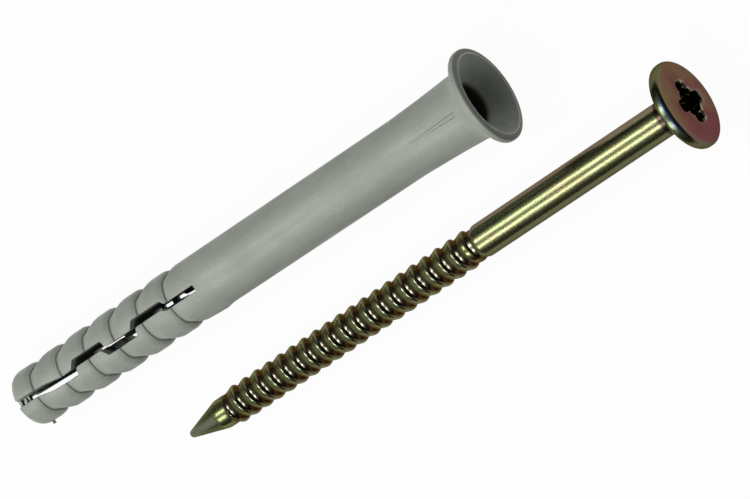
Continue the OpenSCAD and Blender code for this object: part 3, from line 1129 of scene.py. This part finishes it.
def finish_nylon(material, lies):
    tree, shader = opened(material)
    place = own_millimetres(tree, lies)
    radius, spot = own_radius(tree, place)
    height = spot["Z"]
    cloud = placed(tree, soft_clouds, place, Scale=0.28, Detail=3.0)
    flow = placed(tree, long_streaks, place, Scale=1.3, Stretch=14.0)
    grain = placed(tree, soft_clouds, place, Scale=5.0, Detail=2.0)
    speck = placed(tree, sparse_specks, place, Scale=0.9, Size=0.06, Share=0.25)
    uneven = plus(tree, times(tree, cloud, CLOUD_SHARE), times(tree, flow, FLOW_SHARE))
    skin = blend(tree, uneven, NYLON_SHADE, NYLON_GREY)
    # Painted shade: deep in the bore and the slot the colour goes nearly black.
    deep = times(tree, ramp(tree, radius, *BORE_SIDE), ramp(tree, height, *BEHIND_TIP))
    skin = blend(tree, deep, skin, PAINTED_SHADE_DARK)
    # Painted shade: the front of the rim is darkened towards the same dark colour.
    on_rim = times(tree, ramp(tree, height, *RIM_FRONT), ramp(tree, radius, *RIM_RING))
    skin = blend(tree, times(tree, on_rim, RIM_SHADE_SHARE), skin, PAINTED_SHADE_DARK)
    # Painted highlight: a pale line round the lip of the mouth.
    on_lip = times(tree, ramp(tree, radius, *LIP_INSIDE), ramp(tree, radius, *LIP_OUTSIDE))
    on_lip = times(tree, on_lip, ramp(tree, height, *LIP_FRONT))
    skin = blend(tree, on_lip, skin, LIP_PAINTED_HIGHLIGHT)
    mottle = ramp(tree, grain, 0.0, 1.0, 0.0, MOTTLE_SHARE)
    skin = blend(tree, mottle, skin, SPECK_GREY)
    feed(tree, shader.inputs["Base Color"], blend(tree, speck, skin, SPECK_GREY))
    feed(tree, shader.inputs["Roughness"], ramp(tree, uneven, 0.0, 1.0, *NYLON_ROUGH))
    relief = plus(tree, grain, times(tree, flow, FLOW_HEIGHT))
    roughen(tree, shader, relief, strength=0.5, distance=0.008 * MM)


nylon = bpy.data.materials.new("grey_nylon")
finish_nylon(nylon, sleeve_lies)
dress(plug_sleeve, nylon)

# %% [markdown]
# ## Yellow plating
#
# The nail is steel with a passivated zinc coat. It is metal through and through, so the colour
# lies in the reflection. The coat is thin and uneven, and each part of the nail takes it in its
# own way; besides the coat's own tones, the colour also holds painted reflections, highlights and
# shade. A picture could be painted for that, but places in the nail's own millimetres do it
# with a few soft steps, and they stay put from every side.
#
# The plain wire drifts from olive to bronze, with a painted rosy reflection on one side and painted
# shade on the other. A dark ring of painted shade lies on the shank a little below the head.

# %% Places on the nail and the wire's coat
OLIVE = (0.19, 0.222, 0.105, 1.0)
BRONZE = (0.205, 0.19, 0.098, 1.0)
ROSY_PAINTED_REFLECTION = (0.24, 0.195, 0.14, 1.0)
SHADED = (0.13, 0.14, 0.078, 1.0)
RING_PAINTED_SHADE = (0.07, 0.05, 0.035, 1.0)
ROSY_SIDE = (0.9, 1.5)
SHADED_SIDE = (-0.9, -1.5)
SHADE_RING_FROM = (HEAD_BACK - 1.85, HEAD_BACK - 1.65)
SHADE_RING_TO = (HEAD_BACK - 1.1, HEAD_BACK - 1.3)


def nail_places(tree, lies):
    """Sockets for a point's place, radius, height, sides, and depth under the head's face."""
    place = own_millimetres(tree, lies)
    radius, spot = own_radius(tree, place)
    face_level = plus(tree, times(tree, spot["X"], HEAD_SKEW), HEAD_FRONT)
    return SimpleNamespace(
        place=place,
        radius=radius,
        height=spot["Z"],
        side=spot["Y"],
        aside=math_node(tree, "ABSOLUTE", spot["Y"]),
        down=spot["X"],
        sunk=minus(tree, face_level, spot["Z"]),
    )


def wire_coat(tree, at):
    cloud = placed(tree, soft_clouds, at.place, Scale=0.45, Detail=3.0)
    coat = blend(tree, cloud, OLIVE, BRONZE)
    # Painted reflection: rosy on one side. Painted shade: darker on the other side.
    coat = blend(tree, ramp(tree, at.side, *ROSY_SIDE), coat, ROSY_PAINTED_REFLECTION)
    coat = blend(tree, ramp(tree, at.side, *SHADED_SIDE), coat, SHADED)
    # Painted shade: a dark ring on the shank a little below the head.
    shade_ring = times(tree, ramp(tree, at.height, *SHADE_RING_FROM), ramp(tree, at.height, *SHADE_RING_TO))
    return blend(tree, shade_ring, coat, RING_PAINTED_SHADE)


# %% [markdown]
# The thread is green where it faces up, and red-brown in dapples and towards its sides, where the
# brown in the groove is a painted reflection. Its groove is darker near the root as painted shade,
# and painted highlights show pale along the crest and at the very bottom of the groove. The cone of
# the point is painted lighter on top than at its sides.

# %% The thread's coat
THREAD_GREEN = (0.185, 0.228, 0.095, 1.0)
RED_BROWN = (0.148, 0.104, 0.046, 1.0)
PALE_PAINTED_HIGHLIGHT = (0.25, 0.25, 0.19, 1.0)
GROOVE_PAINTED_SHADE = (0.055, 0.032, 0.02, 1.0)
CONE_PAINTED_LIGHT = (0.25, 0.28, 0.175, 1.0)
CONE_PAINTED_SHADE = (0.11, 0.135, 0.065, 1.0)
THREAD_FROM = (THREAD_START - 0.5, THREAD_START + 0.5)
THREAD_TO = (thread_end + 0.5, thread_end - 0.3)
FLANK_SIDE = (0.3, 0.9)
GROOVE = (CREST_R - 0.01, CREST_R - 0.12)
GROOVE_SHARE = 0.85
DAPPLE_SHARE = 0.5
NEAR_ROOT = (ROOT_R + 0.17, ROOT_R + 0.08)
NEAR_ROOT_SHARE = 0.85
AT_ROOT = (ROOT_R + 0.008, ROOT_R + 0.002)
AT_CREST = (CREST_R - 0.024, CREST_R - 0.006)
AT_CREST_SHARE = 0.6
CONE_SIDE = (0.15, 0.6)
CONE_END = (POINT_LENGTH + 0.1, POINT_LENGTH - 0.5)


def thread_coat(tree, at):
    in_thread = ramp(tree, at.height, *THREAD_FROM)
    on_flank = ramp(tree, at.aside, *FLANK_SIDE)
    dappled = placed(tree, soft_clouds, at.place, Scale=2.4, Detail=3.0)
    in_groove = times(tree, ramp(tree, at.radius, *GROOVE), in_thread)
    # Painted reflection: red-brown towards the sides of the groove. The dapples are the coat's own tone.
    browned = times(tree, times(tree, in_groove, on_flank), GROOVE_SHARE)
    browned = math_node(tree, "MAXIMUM", browned, times(tree, dappled, DAPPLE_SHARE))
    coat = blend(tree, browned, THREAD_GREEN, RED_BROWN)
    # Painted shade: the groove darkens near the root.
    near_root = times(tree, ramp(tree, at.radius, *NEAR_ROOT), in_thread)
    coat = blend(tree, times(tree, near_root, NEAR_ROOT_SHARE), coat, GROOVE_PAINTED_SHADE)
    # Painted highlights: pale at the very bottom of the groove, away from the sides, and along the
    # crest.
    at_root = times(tree, ramp(tree, at.radius, *AT_ROOT), in_thread)
    root_highlight = times(tree, at_root, minus(tree, 1.0, on_flank))
    coat = blend(tree, root_highlight, coat, PALE_PAINTED_HIGHLIGHT)
    at_crest = times(tree, ramp(tree, at.radius, *AT_CREST), in_thread)
    coat = blend(tree, times(tree, at_crest, AT_CREST_SHARE), coat, PALE_PAINTED_HIGHLIGHT)
    # Painted light: the cone is lighter on top and darker towards its sides.
    cone = blend(tree, ramp(tree, at.aside, *CONE_SIDE), CONE_PAINTED_LIGHT, CONE_PAINTED_SHADE)
    return blend(tree, ramp(tree, at.height, *CONE_END), coat, cone)


# %% [markdown]
# The head is olive at its edge, painted lighter in the middle of the rim where its highlight falls
# and darker towards the rim's ends, with a painted blue reflection in the middle of the rim. Its
# face turns mauve, with tan patches that gather above and towards one side. The recess is painted
# nearly black as shade, with a few painted glints, and a lighter line runs round its mouth.

# %% The head's coat
MAUVE = (0.16, 0.062, 0.07, 1.0)
TAN = (0.165, 0.122, 0.068, 1.0)
RIM_PAINTED_HIGHLIGHT = (0.14, 0.163, 0.085, 1.0)
RIM_PAINTED_SHADE = (0.115, 0.115, 0.062, 1.0)
BLUE_PAINTED_REFLECTION = (0.07, 0.095, 0.14, 1.0)
HEAD_EDGE = (1.35, 1.1)
RIM_SIDE = (1.6, 2.8)
BLUE_REFLECTION_DEPTH = (0.58, 0.42)
BLUE_REFLECTION_SIDE = (2.3, 1.3)
FACE_DEPTH = (0.14, 0.03)
TAN_RING = (3.2, 4.2)
TAN_RING_SIDE = (-3.5, -1.0)
TAN_TOP = (-0.2, -1.8)
TAN_TOP_SIDE = (-1.0, 1.2)
TAN_TOP_SHARE = 0.75
TAN_PATCHES = (-2.8, -0.5, 0.15, 0.9)


def head_coat(tree, at, coat):
    # Painted light on the rim: lighter in its middle where the highlight falls, darker towards its ends.
    rim = blend(tree, ramp(tree, at.aside, *RIM_SIDE), RIM_PAINTED_HIGHLIGHT, RIM_PAINTED_SHADE)
    coat = blend(tree, ramp(tree, at.sunk, *HEAD_EDGE), coat, rim)
    # Painted reflection: a dark blue stretch in the middle of the rim, next to the face.
    blue_reflection = times(tree, ramp(tree, at.sunk, *BLUE_REFLECTION_DEPTH), ramp(tree, at.aside, *BLUE_REFLECTION_SIDE))
    coat = blend(tree, blue_reflection, coat, BLUE_PAINTED_REFLECTION)
    ring = times(tree, ramp(tree, at.radius, *TAN_RING), ramp(tree, at.side, *TAN_RING_SIDE))
    top = times(tree, ramp(tree, at.down, *TAN_TOP), ramp(tree, at.side, *TAN_TOP_SIDE))
    patchy = placed(tree, soft_clouds, at.place, Scale=0.38, Detail=2.0)
    patchy = times(tree, patchy, ramp(tree, at.side, *TAN_PATCHES))
    tanned = math_node(tree, "MAXIMUM", patchy, times(tree, top, TAN_TOP_SHARE))
    tanned = math_node(tree, "MAXIMUM", tanned, ring)
    face = blend(tree, tanned, MAUVE, TAN)
    return blend(tree, ramp(tree, at.sunk, *FACE_DEPTH), coat, face)


# %% The recess's coat
MOUTH_PALE = (0.3, 0.3, 0.22, 1.0)
RECESS_PAINTED_SHADE = (0.004, 0.004, 0.003, 1.0)
GLINT = (0.5, 0.36, 0.14, 1.0)
WINGS_DEPTH = 1.15
WINGS_R = 2.7
FLOOR_DEPTH = RECESS_DEPTH + 0.1
FLOOR_R = NAIL_SHANK_R - 0.04
MOUTH_PALE_DEPTH = (0.01, 0.04)
MOUTH_PALE_SHARE = 0.8
SHADE_DEPTH = (0.08, 0.2)
GLINT_EDGES = (0.8, 1.0)


def within(tree, at, depth, radius):
    """1 inside a round hole of the given depth and radius in the head's face, and 0 outside it."""
    not_deeper = math_node(tree, "LESS_THAN", at.sunk, depth)
    return times(tree, not_deeper, math_node(tree, "LESS_THAN", at.radius, radius))


def recess_coat(tree, at, coat):
    wings = within(tree, at, WINGS_DEPTH, WINGS_R)
    in_recess = math_node(tree, "MAXIMUM", wings, within(tree, at, FLOOR_DEPTH, FLOOR_R))
    # A lighter line round the mouth of the recess.
    on_mouth = times(tree, in_recess, ramp(tree, at.sunk, *MOUTH_PALE_DEPTH))
    coat = blend(tree, times(tree, on_mouth, MOUTH_PALE_SHARE), coat, MOUTH_PALE)
    # Painted shade: deep in the recess the colour goes nearly black, with painted glints in it.
    ragged = placed(tree, soft_clouds, at.place, Scale=3.2, Detail=2.0)
    shade_and_glints = blend(tree, ramp(tree, ragged, *GLINT_EDGES), RECESS_PAINTED_SHADE, GLINT)
    shaded_deep = times(tree, in_recess, ramp(tree, at.sunk, *SHADE_DEPTH))
    return blend(tree, shaded_deep, coat, shade_and_glints)


# %% [markdown]
# The coats are laid over one another, and gold chips are scattered on them. The grain of the coat
# makes the gloss uneven, and a fine bump holds the lines that wire drawing leaves along the shank.

# %% Plating finish
GOLD = (0.36, 0.29, 0.13, 1.0)
GRAZING_TINT = (0.46, 0.40, 0.37, 1.0)
CHIP_SHARE = 0.35
PLATING_ROUGH = (0.22, 0.31)
GRAIN_HEIGHT = 0.7


def finish_plating(material, lies):
    tree, shader = opened(material)
    at = nail_places(tree, lies)
    drawn = placed(tree, long_streaks, at.place, Scale=9.0, Stretch=18.0)
    grain = placed(tree, soft_clouds, at.place, Scale=9.0, Detail=2.0)
    chip = placed(tree, sparse_specks, at.place, Scale=1.6, Size=0.09, Share=0.3)
    threaded = ramp(tree, at.height, *THREAD_TO)
    coat = blend(tree, threaded, wire_coat(tree, at), thread_coat(tree, at))
    coat = head_coat(tree, at, coat)
    coat = blend(tree, times(tree, chip, CHIP_SHARE), coat, GOLD)
    feed(tree, shader.inputs["Base Color"], recess_coat(tree, at, coat))
    feed(tree, shader.inputs["Metallic"], 1.0)
    feed(tree, shader.inputs["Specular Tint"], GRAZING_TINT)
    feed(tree, shader.inputs["Roughness"], ramp(tree, grain, 0.0, 1.0, *PLATING_ROUGH))
    relief = plus(tree, drawn, times(tree, grain, GRAIN_HEIGHT))
    roughen(tree, shader, relief, strength=0.6, distance=0.003 * MM)


finish_plating(plating, nail_lies)
dress(nail_screw, plating)

# %% [markdown]
# ## Camera
#
# The photograph looks down steeply from the heads' side, through a long lens, with the camera
# rolled so that the pieces run corner to corner. The camera is set by its distance, its height
# over the table and its roll about the line of sight.

# %% Camera
IMAGE_WIDTH = 750
SENSOR = 36.0
FOCAL_PIXELS = 3821.7
DISTANCE = 0.35552
ELEVATION = math.radians(63.44)
ROLL = math.radians(-123.25)
AIM = Vector((3.296, -1.146, 4.257)) * MM
NEAREST = 0.01
FARTHEST = 20.0

back = Vector((math.cos(ELEVATION), 0.0, math.sin(ELEVATION)))
level_right = Vector((0.0, 1.0, 0.0))
level_up = back.cross(level_right)
right = math.cos(ROLL) * level_right + math.sin(ROLL) * level_up
up = back.cross(right)
camera_data = bpy.data.cameras.new("camera")
camera_data.sensor_width = SENSOR
camera_data.sensor_fit = "HORIZONTAL"
camera_data.lens = FOCAL_PIXELS * SENSOR / IMAGE_WIDTH
camera_data.clip_start = NEAREST
camera_data.clip_end = FARTHEST
camera = bpy.data.objects.new("camera", camera_data)
bpy.context.scene.collection.objects.link(camera)
turned = Matrix((right, up, back)).transposed().to_4x4()
camera.matrix_world = Matrix.Translation(AIM + back * DISTANCE) @ turned
bpy.context.scene.camera = camera
print("camera lens (mm):", round(camera_data.lens, 2))

# %% [markdown]
# ## Table
#
# The pieces lie on a plain white table that fades into white. Most of what the camera and the
# reflections see of it is a steady white, and the rest is a matt surface that still takes the
# shadow of the pieces and throws soft light back up at them. It lies a hair under the pieces, so
# that nothing pierces it.

# %% Table
TABLE_REACH = 4.0
TABLE_DROP = 0.08 * MM
TABLE_WHITE = (0.6, 0.6, 0.6, 1.0)
STEADY_WHITE = (1.0, 1.0, 1.0, 1.0)
STEADY_SHARE = 0.96

table_corners = ((-1, -1), (1, -1), (1, 1), (-1, 1))
floor_mesh = bpy.data.meshes.new("table")
floor_points = [(x * TABLE_REACH, y * TABLE_REACH, -TABLE_DROP) for x, y in table_corners]
floor_mesh.from_pydata(floor_points, [], [(0, 1, 2, 3)])
floor = bpy.data.objects.new("table", floor_mesh)
bpy.context.scene.collection.objects.link(floor)
table_white = bpy.data.materials.new("table_white")
table_white.use_nodes = True
tree = table_white.node_tree
tree.nodes.clear()
rays = add(tree, "ShaderNodeLightPath").outputs
seen = math_node(tree, "MAXIMUM", rays["Is Camera Ray"], rays["Is Glossy Ray"])
seen = math_node(tree, "MAXIMUM", seen, rays["Is Transmission Ray"])
glow = add(tree, "ShaderNodeEmission")
feed(tree, glow.inputs["Color"], STEADY_WHITE)
feed(tree, glow.inputs["Strength"], 1.0)
matt = add(tree, "ShaderNodeBsdfDiffuse")
feed(tree, matt.inputs["Color"], TABLE_WHITE)
mixed = add(tree, "ShaderNodeMixShader")
feed(tree, mixed.inputs[0], times(tree, seen, STEADY_SHARE))
feed(tree, mixed.inputs[1], matt.outputs[0])
feed(tree, mixed.inputs[2], glow.outputs[0])
feed(tree, add(tree, "ShaderNodeOutputMaterial").inputs["Surface"], mixed.outputs[0])
floor_mesh.materials.append(table_white)
print("table reaches (m):", TABLE_REACH)

# %% [markdown]
# ## Light
#
# Two long softboxes hang on the tips' side and reach over the middle, one to each side of it.
# Shiny wire shows each of them as a bright line, so where they hang is read off the shank. The
# steps of the barbs and the funnel face the heads, and so stay in shade. The room is dim at the
# horizon and brighter overhead, which gives the wire its dark bands. It is dimmer towards the
# heads, and a low glow behind the tips lights the edge of the nail's head.

# %% Room
SKY_COLOUR = (0.95, 0.975, 1.0, 1.0)
# Each soft step: from, to, and the brightness at both ends.
SKY_CLIMB = (0.25, 1.0, 0.01, 0.33)
SKY_AHEAD = (0.0, 0.6, 1.0, 0.4)
SKY_BEHIND = (-0.72, -0.9, 0.0, 0.45)

world = bpy.data.worlds.new("studio")
bpy.context.scene.world = world
world.use_nodes = True
tree = world.node_tree
sky = tree.nodes["Background"]
facing = add(tree, "ShaderNodeSeparateXYZ")
feed(tree, facing.inputs[0], add(tree, "ShaderNodeTexCoord").outputs["Generated"])
overhead = ramp(tree, facing.outputs["Z"], *SKY_CLIMB)
ahead = ramp(tree, facing.outputs["X"], *SKY_AHEAD)
behind = ramp(tree, facing.outputs["X"], *SKY_BEHIND)
feed(tree, sky.inputs["Color"], SKY_COLOUR)
feed(tree, sky.inputs["Strength"], plus(tree, times(tree, overhead, ahead), behind))
print("room overhead:", SKY_CLIMB[-1], "behind the tips:", SKY_BEHIND[-1])

# %% Softboxes
BOX_DISTANCE = 0.5
BOX_LENGTH = 0.5
BOX_WIDTH = 0.1
BOX_WATTS = 1.5
BOX_SHIFT = 0.09
BOX_LEANS = (("softbox_far", 20.2), ("softbox_near", -23.5))


def softbox(name, lean):
    """A long lamp parallel to X, over the tips, leaning towards +Y by an angle in degrees."""
    data = bpy.data.lights.new(name, "AREA")
    data.shape = "RECTANGLE"
    data.size = BOX_LENGTH
    data.size_y = BOX_WIDTH
    data.energy = BOX_WATTS
    lamp = bpy.data.objects.new(name, data)
    bpy.context.scene.collection.objects.link(lamp)
    side = math.radians(lean)
    height = math.sin(ELEVATION)
    towards = Vector((-math.cos(ELEVATION), height * math.sin(side), height * math.cos(side)))
    along = (Vector((1.0, 0.0, 0.0)) - towards * towards.x).normalized()
    basis = Matrix((along, towards.cross(along), towards)).transposed().to_4x4()
    lamp.matrix_world = Matrix.Translation(towards * BOX_DISTANCE + along * BOX_SHIFT) @ basis


for box_name, box_lean in BOX_LEANS:
    softbox(box_name, box_lean)
bpy.context.scene.view_settings.view_transform = "Standard"
print("softboxes:", [name for name, lean in BOX_LEANS])

# %% [markdown]
# ## Handing over
#
# Each mesh rides on the one body of the model and stands in for its solid, which is hidden.

# %% Riding and replacing
HANDED_OVER = (
    (plug_sleeve, "plug_sleeve", "nylon"),
    (nail_screw, "nail_screw", "plated_steel"),
)

for piece, node, slot in HANDED_OVER:
    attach(piece, "root")
    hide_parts(node)
